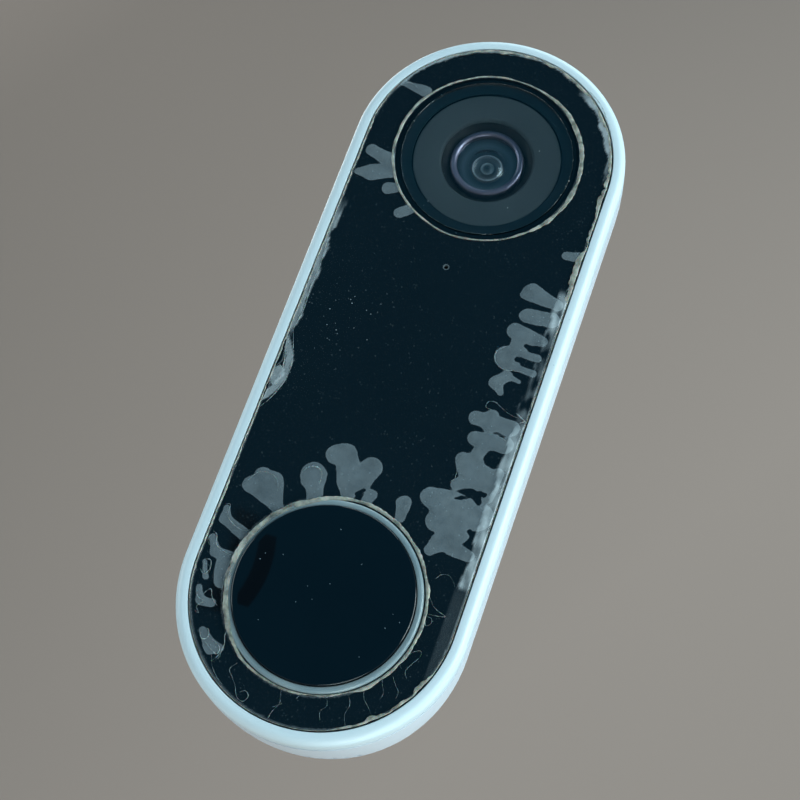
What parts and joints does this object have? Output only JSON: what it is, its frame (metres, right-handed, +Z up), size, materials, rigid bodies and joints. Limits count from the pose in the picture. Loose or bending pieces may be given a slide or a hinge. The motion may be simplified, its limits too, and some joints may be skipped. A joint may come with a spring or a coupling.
{
  "type": "video doorbell",
  "caption": "Wired video doorbell: a long round-ended case with a camera window above, a lit push button below and a wall plate behind.",
  "frame": {"origin": "centre of the wall plate's back face, where it meets the wall", "axes": "+Z up the length towards the camera, +Y into the wall, the front faces -Y"},
  "size_m": [0.043, 0.026, 0.117],
  "materials": {
    "white_shell": "satin moulded plastic",
    "white_rim": "satin moulded plastic",
    "black_gloss": "high gloss",
    "clear_film": "clear glossy film",
    "bond_line": "cured adhesive",
    "camera_glass": "clear polished",
    "mask_grey": "fine matte",
    "black_matte": "fine matte",
    "lens_metal": "anodised",
    "lens_glass": "coated",
    "button_gloss": "high gloss",
    "light_guide": "translucent",
    "lamp_body": "clear resin",
    "circuit_board": "solder resist",
    "flex_film": "polyimide",
    "shield_steel": "tinned",
    "spreader_aluminium": "rolled",
    "soft_pad": "soft silicone",
    "seal_rubber": "matte",
    "chip_black": "epoxy",
    "cell_sleeve": "shrink sleeve",
    "magnet_metal": "plated",
    "speaker_paper": "treated paper",
    "grille_cloth": "woven mesh",
    "spring_steel": "drawn wire",
    "screw_steel": "zinc plated",
    "terminal_brass": "stamped",
    "plate_plastic": "fine texture"
  },
  "bodies": {
    "doorbell": {"wall_plate": "plate_plastic", "latch_spring": "spring_steel", "housing_shell": "white_shell", "front_bezel": "white_rim", "front_glass": "black_gloss", "clear_film": "clear_film", "glass_adhesive": "bond_line", "camera_housing": "black_matte", "camera_window": "camera_glass", "window_gasket": "seal_rubber", "camera_mask": "mask_grey", "infrared_board": "circuit_board", "infrared_lamps": "lamp_body", "lens_bezel": "lens_metal", "lens_barrel": "lens_metal", "front_lens": "lens_glass", "middle_lens": "lens_glass", "rear_lens": "lens_glass", "lens_holder": "black_matte", "image_sensor": "chip_black", "sensor_board": "circuit_board", "camera_flex": "flex_film", "light_ring": "light_guide", "ring_lights": "lamp_body", "button_board": "circuit_board", "button_switch": "shield_steel", "button_spring": "spring_steel", "button_flex": "flex_film", "chassis": "black_matte", "case_screws": "screw_steel", "main_board": "circuit_board", "processor_shield": "shield_steel", "radio_shield": "shield_steel", "thermal_pad": "soft_pad", "heat_spreader": "spreader_aluminium", "power_board": "circuit_board", "power_inductor": "chip_black", "storage_cells": "cell_sleeve", "board_connector": "chip_black", "antenna": "terminal_brass", "microphone": "shield_steel", "microphone_seal": "seal_rubber", "usb_socket": "shield_steel", "speaker_frame": "black_matte", "speaker_magnet": "magnet_metal", "speaker_cone": "speaker_paper", "grille_mesh": "grille_cloth", "rear_cover": "plate_plastic", "rear_seal": "seal_rubber", "reset_switch": "shield_steel", "terminal_plates": "terminal_brass"},
    "button": {"button_cap": "button_gloss", "button_carrier": "black_matte", "switch_plunger": "black_matte"},
    "latch": {"release_latch": "black_matte"},
    "reset": {"reset_key": "black_matte"},
    "left_clamp": {"terminal_washer_left": "terminal_brass"},
    "left_screw": {"terminal_screw_left": "screw_steel"},
    "right_clamp": {"terminal_washer_right": "terminal_brass"},
    "right_screw": {"terminal_screw_right": "screw_steel"}
  },
  "joints": [
    {"name": "button_press", "type": "slide", "parent": "doorbell", "child": "button", "axis": [0, 1, 0], "range_m": [0, 0.0004], "stiffness_N_per_m": 4000, "deforming": ["button_spring"]},
    {"name": "latch_release", "type": "slide", "parent": "doorbell", "child": "latch", "axis": [0, 0, 1], "range_m": [0, 0.0012], "stiffness_N_per_m": 800, "deforming": ["latch_spring"]},
    {"name": "reset_press", "type": "slide", "parent": "doorbell", "child": "reset", "axis": [0, -1, 0], "range_m": [0, 0.0003], "stiffness_N_per_m": 3000},
    {"name": "left_terminal_lift", "type": "slide", "parent": "doorbell", "child": "left_clamp", "axis": [0, 1, 0], "range_m": [0, 0.0015]},
    {"name": "left_terminal_turn", "type": "hinge", "parent": "left_clamp", "child": "left_screw", "pos_m": [-0.0065, -0.003, -0.021], "axis": [0, 1, 0], "range_deg": [0, 1080]},
    {"name": "right_terminal_lift", "type": "slide", "parent": "doorbell", "child": "right_clamp", "axis": [0, 1, 0], "range_m": [0, 0.0015]},
    {"name": "right_terminal_turn", "type": "hinge", "parent": "right_clamp", "child": "right_screw", "pos_m": [0.0065, -0.003, -0.021], "axis": [0, 1, 0], "range_deg": [0, 1080]}
  ],
  "couplings": [
    {"joint": "left_terminal_turn", "follows": "left_terminal_lift", "rad_per_m": 12566},
    {"joint": "right_terminal_turn", "follows": "right_terminal_lift", "rad_per_m": 12566}
  ]
}
